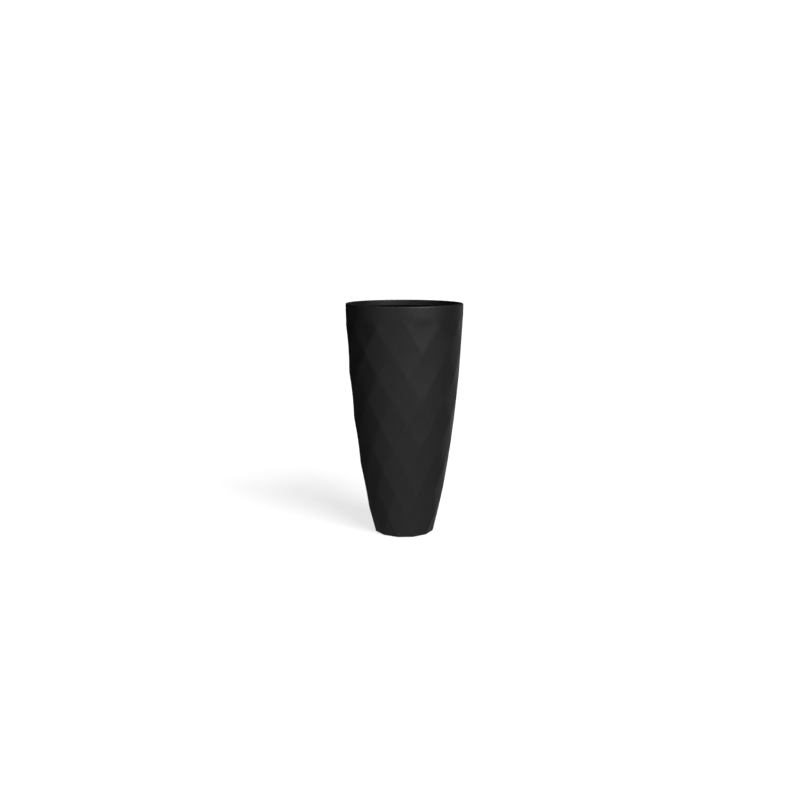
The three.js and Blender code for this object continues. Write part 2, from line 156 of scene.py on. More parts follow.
# ---------------------------------------------------------------- the faceted shell
PAD_H, SIDES, BANDS, COLLAR_Z = 3.0, 12, 9, 909.0
BAND = (COLLAR_Z - PAD_H) / BANDS
RING_R = [129.5, 154.1, 174.4, 191.3, 205.9, 218.3, 229.0, 237.9, 244.6, 250.0]
TABLE_R = np.array([2 * RING_R[0] * math.cos(math.pi / SIDES) - RING_R[1]] + RING_R + [253.0, 253.0])
LIP_R, LIP_RO, LIP_RI, LIP_IN, LIP_LOW, ROUND_Z, WALL = 251.0, 5.0, 4.0, 236.0, 977.0, 965.0, 6.0
SUB = 17
COLS = SIDES * SUB
SOFT = 0.085  # how far a ridge is rounded, in lattice units
TAPS = [(-1, 1 / 9), (-0.5, 2 / 9), (0, 3 / 9), (0.5, 2 / 9), (1, 1 / 9)]


def lattice(a, b):
    u, v = a + b, b - a
    u0 = np.floor((u + 1) / 2 + 1e-9) * 2 - 1
    v0 = np.floor((v + 1) / 2 + 1e-9) * 2 - 1
    fu, fv = (u - u0) / 2, (v - v0) / 2
    x, y = np.zeros_like(u), np.zeros_like(u)
    for du, dv, w in ((0, 0, (1 - fu) * (1 - fv)), (2, 0, fu * (1 - fv)), (0, 2, (1 - fu) * fv), (2, 2, fu * fv)):
        m, i = (u0 + du - v0 - dv) / 2, (u0 + du + v0 + dv) / 2
        r = TABLE_R[np.clip(np.rint(i).astype(int) + 1, 0, len(TABLE_R) - 1)]
        t = np.radians(180 / SIDES * m)
        x += w * r * np.sin(t)
        y -= w * r * np.cos(t)
    return x, y, np.minimum(np.minimum(fu, 1 - fu), np.minimum(fv, 1 - fv))


def smooth01(t):
    t = min(1.0, max(0.0, t))
    return t * t * (3 - 2 * t)


def wall_loop(z, shift, inset):
    """One loop of the wall, in millimetres, and how near each point is to a ridge."""
    a = (2 * np.arange(COLS) + shift) / SUB
    b = np.full(COLS, (z - PAD_H) / BAND)
    x, y = np.zeros(COLS), np.zeros(COLS)
    for du, wu in TAPS:
        for dv, wv in TAPS:
            px, py, _ = lattice(a + (du - dv) * SOFT / 2, b + (du + dv) * SOFT / 2)
            x += wu * wv * px
            y += wu * wv * py
    r = np.hypot(x, y)
    to = r.copy()
    if z > COLLAR_Z:
        full = RING_R[BANDS] + (LIP_R - RING_R[BANDS]) * smooth01((z - COLLAR_Z) / 84)
        to += (full - r) * smooth01((z - COLLAR_Z) / (ROUND_Z - COLLAR_Z))
    k = (to - inset) / r
    near = lattice(a, b)[2]
    ridge = np.clip(1 - near / 0.06, 0, 1) * (1 - smooth01((z - COLLAR_Z) / 40))
    return np.stack([x * k, y * k, np.full(COLS, z)], 1), ridge


def round_loop(r, z, shift):
    t = np.radians((2 * np.arange(COLS) + shift) / SUB * 180 / SIDES)
    return np.stack([r * np.sin(t), -r * np.cos(t), np.full(COLS, z)], 1), np.zeros(COLS)


def skin(name, loops, closed=True):
    """loops: (points, ridge, shift). Neighbouring loops may lie half a step round from each other."""
    verts = np.concatenate([l[0] for l in loops]) / 1000
    faces, n = [], COLS
    count = len(loops) if closed else len(loops) - 1
    for i in range(count):
        j = (i + 1) % len(loops)
        sa, sb, A, B = loops[i][2], loops[j][2], i * n, j * n
        for k in range(n):
            k1 = (k + 1) % n
            if sa == sb:
                faces.append((A + k, A + k1, B + k1, B + k))
            elif sa == 0:
                faces.append((A + k, A + k1, B + k))
                faces.append((A + k1, B + k1, B + k))
            else:
                faces.append((A + k, B + k1, B + k))
                faces.append((A + k, A + k1, B + k1))
    ob = new_object(name, verts, faces)
    at = ob.data.attributes.new("ridge", "FLOAT", "POINT")
    at.data.foreach_set("value", np.concatenate([l[1] for l in loops]).astype(np.float32))
    return ob


def build_shell():
    rows = BANDS * SUB
    row_shift = lambda k: 1 if k % 2 == 0 else 0
    loops = []
    wall = lambda z, s, inset: loops.append((*wall_loop(z, s, inset), s))
    ring = lambda r, z, s: loops.append((*round_loop(r, z, s), s))
    wall(PAD_H, 1, 1.6)
    wall(PAD_H + 0.5, 1, 0.5)
    wall(PAD_H + 1.6, 1, 0)
    for k in range(1, rows + 1):
        wall(PAD_H + BAND * k / SUB, row_shift(k), 0)
    s = row_shift(rows)
    for z in np.arange(COLLAR_Z + 4, 990, 4.0):
        s = 1 - s
        wall(z, s, 0)
    for t in np.radians(np.linspace(0, 90, 9)):
        ring(LIP_R - LIP_RO * (1 - math.cos(t)), 1000 - LIP_RO + LIP_RO * math.sin(t), s)
    for t in np.radians(np.linspace(90, 0, 9)):
        ring(LIP_IN + LIP_RI * (1 - math.cos(t)), 1000 - LIP_RI + LIP_RI * math.sin(t), s)
    # rings near both ends of the bead's inner face keep its shading flat
    for z in (1000 - LIP_RI - 1, LIP_LOW + 1.2, LIP_LOW):
        ring(LIP_IN, z, s)
    for k in range(1, 7):
        t = k / 7
        f = t * t * (3 - 2 * t)
        ring(LIP_IN + (LIP_R - WALL - LIP_IN) * f, LIP_LOW - 11 * t, s)
    for z in np.arange(LIP_LOW - 11, COLLAR_Z + 3, -6.0):
        s = 1 - s
        wall(z, s, WALL)
    for k in range(rows, 0, -3):
        wall(PAD_H + BAND * k / SUB, row_shift(k), WALL)
    last = loops[-1][2]
    floor_z = PAD_H + 10
    for z, inset in ((floor_z + 6, WALL), (floor_z + 2, WALL + 1.2), (floor_z, WALL + 6)):
        if z < loops[-1][0][0][2]:
            wall(z, last, inset)
    for r, z in ((60, floor_z), (17, floor_z), (16, floor_z - 0.8), (16, 7), (29, 7), (30, 6.2), (30, 3.8), (30.8, 3)):
        ring(r, z, 1)
    ring(100, 3, 1)
    return skin("shell", loops)


shell = build_shell()
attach(shell, "shell")
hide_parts("outer_shell")

# ---------------------------------------------------------------- fittings, in millimetres as in the construction
SEAT_Z, SEAT_IN, GAP = 915.0, 214.0, 0.4
FLANGE_TOP, FLANGE_T, FLANGE_R = 920.0, 4.7, 232.0
LINER_WALL, LINER_TOP_R, STEP_Z, STEP_R = 3.0, 211.5, 588.0, 192.0
TANK_TOP_R, TANK_R, LINER_BOTTOM, LINER_DRAIN_R = 182.5, 178.0, 520.0, 10.0
HANDLE_R, HANDLE_HALF, HANDLE_W, HANDLE_T = 219.0, 40.0, 9.0, 7.0
GRIP_HALF, GRIP_W, GRIP_T, PIVOT_Z, PIN_R, PIN_HOLE_R = 17.0, 14.0, 9.0, 924.9, 2.4, 2.8
DECK_R, DECK_T, BASKET_AT, BASKET_R = 187.5, 3.0, 105.0, 30.0
TUBE_Y, FILL_X, FILL_R, FILL_TOP, GAUGE_X, GAUGE_R, GAUGE_TOP = 146.0, -34.0, 18.0, 929.0, 34.0, 11.0, 922.0
FLOOR_TOP, RECESS_Z = 13.0, 7.0
DECK_LOW = STEP_Z + GAP
DECK_TOP = DECK_LOW + DECK_T
HANDLE_X = HANDLE_R * math.cos(math.radians(HANDLE_HALF))
HANDLE_Y = HANDLE_R * math.sin(math.radians(HANDLE_HALF))
LUG_IN = HANDLE_Y + 6.2
LUG_OUT = LUG_IN + 6


def polar(r, deg):
    t = math.radians(deg)
    return r * math.sin(t), -r * math.cos(t)


def boolean(ob, other, operation):
    """ob joined with, or cut by, other, which is used up."""
    m = ob.modifiers.new("b", "BOOLEAN")
    m.operation, m.solver, m.object = operation, "EXACT", other
    bpy.context.view_layer.update()
    me = bpy.data.meshes.new_from_object(ob.evaluated_get(bpy.context.evaluated_depsgraph_get()))
    ob.modifiers.clear()
    old = ob.data
    ob.data = me
    bpy.data.meshes.remove(old)
    bpy.data.objects.remove(other)
    return ob


def box_mm(name, x0, x1, y0, y1, z0, z1, bevel=0.0):
    bm = bmesh.new()
    bmesh.ops.create_cube(bm, size=1.0)
    for v in bm.verts:
        v.co = Vector(((x0 if v.co.x < 0 else x1) / 1000, (y0 if v.co.y < 0 else y1) / 1000, (z0 if v.co.z < 0 else z1) / 1000))
    if bevel:
        bmesh.ops.bevel(bm, geom=list(bm.edges), offset=bevel / 1000, segments=3, profile=0.5, affect="EDGES")
    me = bpy.data.meshes.new(name)
    bm.to_mesh(me)
    bm.free()
    ob = bpy.data.objects.new(name, me)
    bpy.context.scene.collection.objects.link(ob)
    return ob


def rod_mm(name, axis, r, length, centre, segs=32, chamfer=0.0):
    """A round bar along an axis, with its end edges broken."""
    h, c = length / 2, chamfer
    prof = [(0, -h), (r - c, -h), (r, -h + c), (r, h - c), (r - c, h), (0, h)] if c else [(0, -h), (r, -h), (r, h), (0, h)]
    ob = lathe(name, prof, segs, closed=False)
    turn = {"z": Matrix.Identity(4), "x": Matrix.Rotation(math.pi / 2, 4, "Y"), "y": Matrix.Rotation(math.pi / 2, 4, "X")}[axis]
    ob.data.transform(Matrix.Translation(Vector(centre) / 1000) @ turn)
    return ob


def finish_edges(ob, width=0.0, angle=35):
    """Smooth faces, sharp where the form turns sharply, with a small break on those edges."""
    if width:
        m = ob.modifiers.new("edge", "BEVEL")
        m.width, m.segments, m.limit_method, m.angle_limit = width / 1000, 2, "ANGLE", math.radians(angle)
        m.use_clamp_overlap = True
        bpy.context.view_layer.update()
        me = bpy.data.meshes.new_from_object(ob.evaluated_get(bpy.context.evaluated_depsgraph_get()))
        ob.modifiers.clear()
        ob.data = me
    me = ob.data
    for p in me.polygons:
        p.use_smooth = True
    me.set_sharp_from_angle(angle=math.radians(angle))
    return ob


def place(ob, body, slot, *nodes):
    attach(ob, body)
    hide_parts(*nodes)
    return ob


def seat_ring():
    """The ledge inside the wall. It follows the facets, so it shares the shell's loops."""
    loops = []
    for z, inset in ((SEAT_Z, 7.6), (SEAT_Z - 0.8, 7.0), (900, 7.0), (888, 7.0), (878, 7.0), (877, 7.8), (877, 10.2), (878, 11)):
        loops.append((*wall_loop(z, 0, inset), 0))
    for z in (888, 900, SEAT_Z - 8):
        loops.append((*wall_loop(z, 0, 11), 0))
    loops.append((*wall_loop(SEAT_Z - 5.6, 0, 14), 0))
    for r, z in ((SEAT_IN + 1, SEAT_Z - 5), (SEAT_IN, SEAT_Z - 4), (SEAT_IN, SEAT_Z - 1), (SEAT_IN + 1, SEAT_Z)):
        loops.append((*round_loop(r, z, 0), 0))
    return finish_edges(skin("seat_ring", loops))


def liner():
    under = FLANGE_TOP - FLANGE_T
    pot = lathe(
        "liner_pot",
        [
            (LINER_DRAIN_R, LINER_BOTTOM, 0.4), (TANK_R - 4, LINER_BOTTOM, 0), (TANK_R, LINER_BOTTOM + 4, 3), (TANK_TOP_R, STEP_Z - 6, 1.5),
            (STEP_R, STEP_Z - 2, 2.5), (LINER_TOP_R, under, 1.0), (FLANGE_R, under, 0.8), (FLANGE_R, FLANGE_TOP, 1.6),
            (LINER_TOP_R - LINER_WALL + 2, FLANGE_TOP, 2.0), (LINER_TOP_R - LINER_WALL, FLANGE_TOP - 2, 1.0),
            (STEP_R - LINER_WALL + 0.4, STEP_Z, 1.0), (TANK_TOP_R - LINER_WALL, STEP_Z, 1.2), (TANK_R - LINER_WALL, LINER_BOTTOM + 5, 2),
            (TANK_R - LINER_WALL - 2, LINER_BOTTOM + LINER_WALL, 1), (LINER_DRAIN_R, LINER_BOTTOM + LINER_WALL, 0.6),
        ],
        144,
    )
    for sx in (-1, 1):
        for sy in (-1, 1):
            y0, y1 = sorted((sy * LUG_IN, sy * LUG_OUT))
            lug = box_mm("lug", sx * HANDLE_X - 6.5, sx * HANDLE_X + 6.5, y0, y1, FLANGE_TOP - 2, PIVOT_Z + 6, 1.0)
            pot = boolean(pot, lug, "UNION")
            hole = rod_mm("hole", "y", PIN_HOLE_R, 20, (sx * HANDLE_X, sy * (LUG_IN + 3), PIVOT_Z))
            pot = boolean(pot, hole, "DIFFERENCE")
    return finish_edges(pot)


def handle(side):
    """A flat bar following the flange, swelling to a ribbed grip, with a pivot boss at each end."""
    verts, faces, n, count = [], [], 28, 161
    for i in range(count):
        deg = -HANDLE_HALF + 2 * HANDLE_HALF * i / (count - 1)
        g = smooth01((GRIP_HALF + 2.5 - abs(deg)) / 4.0)
        w, h = HANDLE_W + (GRIP_W - HANDLE_W) * g, HANDLE_T + (GRIP_T - HANDLE_T) * g
        rib = 0.35 * g * (0.5 + 0.5 * math.cos(math.radians(deg) * 360 / 2.2)) if abs(deg) < GRIP_HALF - 1 else 0
        for k in range(n):
            t = 2 * math.pi * k / n
            c, s = math.cos(t), math.sin(t)
            e = 0.42
            dr = (w / 2 - rib) * math.copysign(abs(c) ** e, c)
            dz = (h / 2 - rib) * math.copysign(abs(s) ** e, s)
            a = math.radians(deg)
            r = HANDLE_R + dr
            verts.append((r * math.cos(a) / 1000, r * math.sin(a) / 1000, (PIVOT_Z + dz) / 1000))
    for i in range(count - 1):
        for k in range(n):
            k1 = (k + 1) % n
            faces.append((i * n + k, i * n + k1, (i + 1) * n + k1, (i + 1) * n + k))
    faces.append(tuple(range(n)))
    faces.append(tuple(reversed(range((count - 1) * n, count * n))))
    ob = new_object("lift_handle", verts, faces)
    for sy in (-1, 1):
        ob = boolean(ob, rod_mm("boss", "y", 4.4, 10, (HANDLE_X, sy * (HANDLE_Y + 0.5), PIVOT_Z), 40, 0.6), "UNION")
        ob = boolean(ob, rod_mm("bore", "y", PIN_HOLE_R, 11, (HANDLE_X, sy * (HANDLE_Y + 1.5), PIVOT_Z), 32), "DIFFERENCE")
    if side < 0:
        ob.data.transform(Matrix.Rotation(math.pi, 4, "Z"))
    return finish_edges(ob)


def deck():
    ob = lathe(
        "deck",
        [(0, DECK_LOW), (DECK_R, DECK_LOW, 0.5), (DECK_R, DECK_TOP + 4, 0.8), (DECK_R - 2.5, DECK_TOP + 4, 0.8), (DECK_R - 2.5, DECK_TOP, 1.2), (0, DECK_TOP)],
        144,
        closed=False,
    )
    holes = [(*polar(BASKET_AT, a), BASKET_R + 0.8) for a in (45, 135, 225, 315)]
    holes += [(FILL_X, TUBE_Y, FILL_R + 0.8), (GAUGE_X, TUBE_Y, GAUGE_R + 0.8)]
    for a in (0, 90, 270):
        holes += [(*polar(r, a), 4) for r in (75, 110, 145)]
    holes += [(*polar(36, a), 4) for a in range(0, 360, 60)]
    holes += [(*polar(166, a), 4) for a in (22, 45, 68, 112, 135, 225, 248, 292, 315, 338)]
    for x, y, r in holes:
        ob = boolean(ob, rod_mm("hole", "z", r, 20, (x, y, DECK_LOW + 1.5), 48 if r > 5 else 24), "DIFFERENCE")
    return finish_edges(ob, 0.35)


def basket():
    low = LINER_BOTTOM + LINER_WALL + GAP
    ob = lathe(
        "basket",
        [
            (0, low), (22, low, 2), (BASKET_R - 0.2, DECK_TOP + GAP, 0.3), (BASKET_R + 4, DECK_TOP + GAP, 0.3), (BASKET_R + 4, DECK_TOP + GAP + 2, 0.8),
            (BASKET_R - 2.2, DECK_TOP + GAP + 2, 0.8), (20, low + 2.2, 2), (0, low + 2.2),
        ],
        72,
        closed=False,
    )
    for a in (0, 60, 120):
        cut = box_mm("slot", -40, 40, -2.5, 2.5, low + 12, DECK_LOW - 10, 1.2)
        cut.data.transform(Matrix.Rotation(math.radians(a), 4, "Z"))
        ob = boolean(ob, cut, "DIFFERENCE")
    return finish_edges(ob)


def pipe(name, x, r, wall, top, guide=0.0):
    low = LINER_BOTTOM + LINER_WALL + GAP
    prof = [
        (r - wall, low, 0.3), (r, low, 0.3), (r, DECK_TOP + GAP, 0.2), (r + 4, DECK_TOP + GAP, 0.4), (r + 4, DECK_TOP + GAP + 3, 1.2),
        (r, DECK_TOP + GAP + 3, 1.2), (r, top, 0.6),
    ]
    prof += [(guide, top, 0.3), (guide, top - 3, 0.3), (r - wall, top - 3, 0.5)] if guide else [(r - wall, top, 0.5)]
    ob = lathe(name, prof, 64)
    ob = boolean(ob, box_mm("n", -r - 1, r + 1, -3, 3, low - 1, low + 10, 0.8), "DIFFERENCE")
    ob = boolean(ob, box_mm("n", -3, 3, -r - 1, r + 1, low - 1, low + 10, 0.8), "DIFFERENCE")
    ob.data.transform(Matrix.Translation((x / 1000, TUBE_Y / 1000, 0)))
    return ob


HINGE_Y, HINGE_Z = TUBE_Y + FILL_R + 5, FILL_TOP + 2.5


def fill_tube():
    ob = pipe("filler_pipe", FILL_X, FILL_R, 2, FILL_TOP)
    for s in (-1, 1):
        ear = box_mm("ear", FILL_X + s * 8.5 - 2, FILL_X + s * 8.5 + 2, TUBE_Y + FILL_R - 3, HINGE_Y + 3, FILL_TOP - 12, HINGE_Z + 3, 0.6)
        ear = boolean(ear, rod_mm("c", "z", FILL_R - 2, 30, (FILL_X, TUBE_Y, FILL_TOP - 6), 64), "DIFFERENCE")
        ob = boolean(ob, ear, "UNION")
        ob = boolean(ob, rod_mm("h", "x", 1.9, 8, (FILL_X + s * 8.5, HINGE_Y, HINGE_Z), 24), "DIFFERENCE")
    ob = boolean(ob, box_mm("t", FILL_X - 13, FILL_X + 13, TUBE_Y, HINGE_Y - 2.6, FILL_TOP, FILL_TOP + 10), "DIFFERENCE")
    return finish_edges(ob)


def fill_cap():
    low = FILL_TOP + GAP
    ob = lathe(
        "filler_cap",
        [
            (0, low - 4), (FILL_R - 3, low - 4, 0.8), (FILL_R - 3, low, 0.2), (FILL_R + 1.5, low, 0.4), (FILL_R + 1.5, low + 2.4, 0.5), (FILL_R, low + 3.4, 0.8),
            (FILL_R - 4, low + 3.4, 0.3), (FILL_R - 4.6, low + 2.9, 0.3), (0, low + 2.9),
        ],
        64,
        centre=(FILL_X, TUBE_Y),
        closed=False,
    )
    ob = boolean(ob, box_mm("tab", FILL_X - 6, FILL_X + 6, TUBE_Y - FILL_R - 6, TUBE_Y - FILL_R + 3, low + 0.4, low + 2.4, 0.7), "UNION")
    arm = box_mm("arm", FILL_X - 5.9, FILL_X + 5.9, TUBE_Y + FILL_R - 4, HINGE_Y, low + 0.2, low + 3.2, 0.3)
    ob = boolean(ob, arm, "UNION")
    ob = boolean(ob, rod_mm("knuckle", "x", 2.9, 11.8, (FILL_X, HINGE_Y, HINGE_Z), 32, 0.3), "UNION")
    ob = boolean(ob, rod_mm("b", "x", 1.9, 14, (FILL_X, HINGE_Y, HINGE_Z), 24), "DIFFERENCE")
    return finish_edges(ob)


def window():
    return finish_edges(
        lathe(
            "gauge_dome",
            [
                (0, 966), (8, 966, 2), (11, 963, 2), (11, GAUGE_TOP + 3, 0.6), (13.4, GAUGE_TOP + 1, 0.8), (13.4, GAUGE_TOP - 10, 0.4), (11.5, GAUGE_TOP - 10, 0.3),
                (11.5, GAUGE_TOP + GAP, 0.1), (9.2, GAUGE_TOP + GAP, 0.2), (9.2, 962, 1.2), (7.4, 964, 1.2), (0, 964),
            ],
            64,
            centre=(GAUGE_X, TUBE_Y),
            closed=False,
        )
    )


def stopper(name, stem, low, flange_z, flange_r, tab_h):
    ob = lathe(
        name,
        [(0, low), (stem - 1.2, low, 0.4), (stem, low + 2, 0.8), (stem, flange_z, 0.3), (flange_r - 0.8, flange_z, 0.3), (flange_r, flange_z + 0.8, 0.6), (flange_r - 1, flange_z + 3, 0.9), (0, flange_z + 3)],
        64,
        closed=False,
    )
    w = flange_r * 0.5
    ob = boolean(ob, box_mm("tab", -w, w, -1.8, 1.8, flange_z + 2, flange_z + 3 + tab_h, 1.2), "UNION")
    ob = boolean(ob, rod_mm("h", "y", w * 0.42, 8, (0, 0, flange_z + 3 + tab_h * 0.56), 32), "DIFFERENCE")
    return finish_edges(ob)


def build_fittings():
    made = {}

    def keep(ob, body, slot, *nodes):
        made[ob.name] = (place(ob, body, slot, *nodes), slot)

    keep(seat_ring(), "shell", "laminate", "liner_seat_ring")
    keep(finish_edges(lathe("bushing", [(12.2, 4, 0.3), (15.4, 4, 0.3), (15.4, 15.7, 0.2), (26, 15.7, 0.4), (26, 17.7, 0.8), (24.6, 19, 0.6), (13.2, 19, 0.3), (12.2, 18, 0.3)], 64)), "shell", "liner_plastic", "drain_bushing")
    keep(finish_edges(lathe("gasket", [(16.4, 13.3, 0.5), (25, 13.3, 0.5), (25, 15.3, 0.5), (16.4, 15.3, 0.5)], 64)), "shell", "rubber", "drain_gasket")
    nut = lathe("locknut", [(15.9, 4.3, 0.2), (23.4, 4.3, 0.3), (23.4, 6.7, 0.3), (15.9, 6.7, 0.2)], 64)
    cut = lathe("c", [(0, 0), (24, 0), (24, 10), (0, 10)], 8, closed=False)
    keep(finish_edges(boolean(nut, cut, "INTERSECT"), 0.25), "shell", "liner_plastic", "drain_locknut")
    for i in range(6):
        pad = lathe(
            f"rubber_foot_{i + 1}",
            [(0, 0), (4, 0, 0.2), (4.4, 0.5, 0.2), (5.6, 0.5, 0.2), (6, 0, 0.2), (9, 0, 0.2), (9.4, 0.5, 0.2), (10.6, 0.5, 0.2), (11, 0, 0.2), (14.4, 0, 0.2), (15, 0.6, 0.4), (15, 2.7, 0.3), (0, 2.7)],
            48,
            centre=polar(100, 60 * i),
            closed=False,
        )
        keep(finish_edges(pad), "shell", "rubber", f"foot_pad_{i + 1}")
    keep(stopper("shell_stopper", 11.8, RECESS_Z - 1, FLOOR_TOP + 6 + GAP, 19, 13), "drain_plug", "rubber", "drain_plug")
    keep(liner(), "liner", "liner_plastic", "liner")
    keep(stopper("tank_stopper", 9.5, LINER_BOTTOM - 1, LINER_BOTTOM + LINER_WALL + GAP, 15, 11), "liner_plug", "rubber", "liner_drain_plug")
    for side, word in ((1, "right"), (-1, "left")):
        h = handle(side)
        h.name = f"handle_bar_{word}"
        keep(h, f"handle_{word}", "handle_plastic", f"lift_handle_{word}")
    number = 1
    for sx in (1, -1):
        for sy in (-1, 1):
            a, b = HANDLE_Y - 3, LUG_OUT + 0.6
            keep(finish_edges(rod_mm(f"pivot_pin_{number}", "y", PIN_R, b - a, (sx * HANDLE_X, sy * (a + b) / 2, PIVOT_Z), 32, 0.4)), "liner", "pin_steel", f"handle_pin_{number}")
            number += 1
    keep(deck(), "insert", "grey_plastic", "reservoir_deck")
    first = basket()
    for i, a in enumerate((45, 135, 225, 315)):
        b = first.copy() if i else first
        b.data = first.data.copy() if i else first.data
        if i:
            bpy.context.scene.collection.objects.link(b)
        b.name = f"wick_cup_{i + 1}"
    for i, a in enumerate((45, 135, 225, 315)):
        b = bpy.data.objects[f"wick_cup_{i + 1}"]
        x, y = polar(BASKET_AT, a)
        b.data.transform(Matrix.Translation((x / 1000, y / 1000, 0)))
        keep(b, "insert", "grey_plastic", f"wick_basket_{i + 1}")
    keep(fill_tube(), "insert", "grey_plastic", "fill_tube")
    keep(finish_edges(rod_mm("cap_hinge_pin", "x", 1.5, 22, (FILL_X, HINGE_Y, HINGE_Z), 24, 0.3)), "insert", "pin_steel", "fill_cap_pin")
    keep(fill_cap(), "cap", "handle_plastic", "fill_cap")
    keep(finish_edges(pipe("gauge_pipe", GAUGE_X, GAUGE_R, 1.6, GAUGE_TOP, 2.3)), "insert", "grey_plastic", "gauge_tube")
    keep(window(), "insert", "clear_plastic", "gauge_window")
    f = LINER_BOTTOM + LINER_WALL + GAP + 2.5
    keep(finish_edges(lathe("float_body", [(0, f), (6.5, f, 0.8), (8, f + 1.5, 1), (8, f + 34.5, 1), (6.5, f + 36, 0.8), (0, f + 36)], 48, centre=(GAUGE_X, TUBE_Y), closed=False)), "float", "float_foam", "gauge_float")
    keep(
        finish_edges(
            lathe(
                "marker_rod",
                [(0, f + 36.4), (1.6, f + 36.4, 0.2), (1.6, GAUGE_TOP + 0.4, 0.2), (5, GAUGE_TOP + 0.4, 0.4), (5, GAUGE_TOP + 10, 0.8), (3.5, GAUGE_TOP + 12, 0.8), (0, GAUGE_TOP + 12)],
                40,
                centre=(GAUGE_X, TUBE_Y),
                closed=False,
            )
        ),
        "float",
        "red_plastic",
        "gauge_rod",
    )
    return made


FITTINGS = build_fittings()


# ---------------------------------------------------------------- materials
class Nodes:
    def __init__(self, name):
        self.mat = bpy.data.materials.new(name)
        self.mat.use_nodes = True
        self.t = self.mat.node_tree
        self.bsdf = self.t.nodes["Principled BSDF"]
        self.coord = self.t.nodes.new("ShaderNodeTexCoord").outputs["Object"]

    def noise(self, scale, detail=2.0, rough=0.5, stretch=None):
        n = self.t.nodes.new("ShaderNodeTexNoise")
        n.inputs["Scale"].default_value = scale
        n.inputs["Detail"].default_value = detail
        n.inputs["Roughness"].default_value = rough
        src = self.coord
        if stretch:
            m = self.t.nodes.new("ShaderNodeMapping")
            m.inputs["Scale"].default_value = stretch
            self.t.links.new(src, m.inputs["Vector"])
            src = m.outputs["Vector"]
        self.t.links.new(src, n.inputs["Vector"])
        return n.outputs["Fac"]

    def ramp(self, fac, stops):
        r = self.t.nodes.new("ShaderNodeValToRGB")
        els = r.color_ramp.elements
        while len(els) < len(stops):
            els.new(0.5)
        for e, (pos, col) in zip(els, stops):
            e.position = pos
            e.color = (*col, 1) if len(col) == 3 else col
        self.t.links.new(fac, r.inputs["Fac"])
        return r.outputs["Color"]

    def maprange(self, fac, lo, hi, a=0.0, b=1.0):
        m = self.t.nodes.new("ShaderNodeMapRange")
        for k, v in zip(("From Min", "From Max", "To Min", "To Max"), (a, b, lo, hi)):
            m.inputs[k].default_value = v
        self.t.links.new(fac, m.inputs["Value"])
        return m.outputs["Result"]

    def mix(self, fac, a, b):
        m = self.t.nodes.new("ShaderNodeMix")
        m.data_type = "RGBA"
        for sock, v in ((m.inputs[0], fac), (m.inputs[6], a), (m.inputs[7], b)):
            if hasattr(v, "links"):
                self.t.links.new(v, sock)
            else:
                sock.default_value = v if isinstance(v, float) else (*v, 1)
        return m.outputs[2]

    def bump(self, height, strength, distance, under=None):
        b = self.t.nodes.new("ShaderNodeBump")
        b.inputs["Strength"].default_value = strength
        b.inputs["Distance"].default_value = distance
        self.t.links.new(height, b.inputs["Height"])
        if under:
            self.t.links.new(under, b.inputs["Normal"])
        return b.outputs["Normal"]

    def set(self, name, v):
        s = self.bsdf.inputs[name]
        if hasattr(v, "links"):
            self.t.links.new(v, s)
        else:
            s.default_value = v


def grey(v, tint=0.0):
    return (v, v * (1 + tint * 0.5), v * (1 + tint))


def plastic(name, base, rough, grain=700.0, grain_depth=0.00012, tint=0.04, spec=0.4):
    m = Nodes(name)
    cloud = m.noise(9.0, 4.0)
    m.set("Base Color", m.ramp(cloud, [(0.3, grey(base * 0.86, tint)), (0.72, grey(base * 1.16, tint))]))
    m.set("Roughness", m.maprange(m.noise(38.0, 3.0), rough - 0.07, rough + 0.07, 0.3, 0.7))
    m.set("Specular IOR Level", spec)
    soft = m.bump(m.noise(60.0, 2.0), 0.25, 0.0003)
    m.set("Normal", m.bump(m.noise(grain, 2.0), 0.5, grain_depth, soft))
    return m.mat


def shell_material():
    m = Nodes("shell_matt_black")
    cloud = m.noise(5.0, 5.0)
    base = m.ramp(cloud, [(0.3, grey(0.0036, 0.02)), (0.7, grey(0.0054, 0.02))])
    ridge = m.t.nodes.new("ShaderNodeAttribute")
    ridge.attribute_name = "ridge"
    rub = m.t.nodes.new("ShaderNodeMath")
    rub.operation = "MULTIPLY"
    m.t.links.new(ridge.outputs["Fac"], rub.inputs[0])
    m.t.links.new(m.maprange(m.noise(45.0, 4.0), 0.0, 0.35, 0.45, 0.75), rub.inputs[1])
    m.set("Base Color", m.mix(rub.outputs[0], base, grey(0.013, 0.02)))
    m.set("Roughness", m.maprange(m.noise(24.0, 4.0), 0.46, 0.56, 0.3, 0.7))
    m.set("Specular IOR Level", 0.36)
    wave = m.bump(m.noise(11.0, 1.0), 0.35, 0.0009)
    m.set("Normal", m.bump(m.noise(650.0, 2.0), 0.45, 0.00010, wave))
    return m.mat


def use(ob, material):
    ob.data.materials.clear()
    ob.data.materials.append(material)


use(shell, shell_material())

MATS = {
    "laminate": plastic("seat_ring_laminate", 0.020, 0.72, 260.0, 0.0005),
    "liner_plastic": plastic("liner_black_plastic", 0.022, 0.52),
    "handle_plastic": plastic("handle_plastic", 0.040, 0.46),
    "grey_plastic": plastic("grey_plastic", 0.075, 0.50),
    "rubber": plastic("rubber", 0.012, 0.80, 420.0, 0.0002),
    "float_foam": plastic("float_foam", 0.70, 0.85, 520.0, 0.0004, -0.06),
}


def steel():
    m = Nodes("turned_steel")
    lines = m.noise(120.0, 3.0, 0.6, (1.0, 14.0, 1.0))
    m.set("Base Color", m.ramp(lines, [(0.3, (0.50, 0.51, 0.52)), (0.7, (0.66, 0.67, 0.68))]))
    m.set("Metallic", 1.0)
    m.set("Roughness", m.maprange(lines, 0.24, 0.40, 0.3, 0.7))
    m.set("Normal", m.bump(lines, 0.3, 0.00008))
    return m.mat


